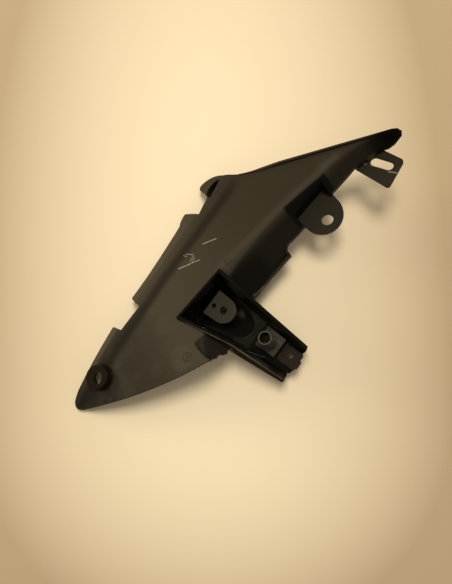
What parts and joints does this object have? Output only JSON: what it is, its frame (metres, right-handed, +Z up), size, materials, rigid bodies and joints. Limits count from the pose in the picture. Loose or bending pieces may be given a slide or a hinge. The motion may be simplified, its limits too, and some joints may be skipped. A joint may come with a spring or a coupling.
{
  "type": "motorcycle inner panel",
  "caption": "Curved plastic inner panel with a pointed tip, flanged edge, holed and slotted ears, a boss and a broken bracket arm with a tube.",
  "frame": {"origin": "on the table, under the middle of the bounding box of the resting panel", "axes": "+X from the pointed tip to the far tip, +Y towards the flanged edge, +Z up from the table on which the panel rests"},
  "size_m": [0.3023, 0.1523, 0.0601],
  "materials": {
    "panel_plastic": "matte moulded grain, worn"
  },
  "bodies": {
    "root": {"inner_panel": "panel_plastic"}
  },
  "joints": []
}
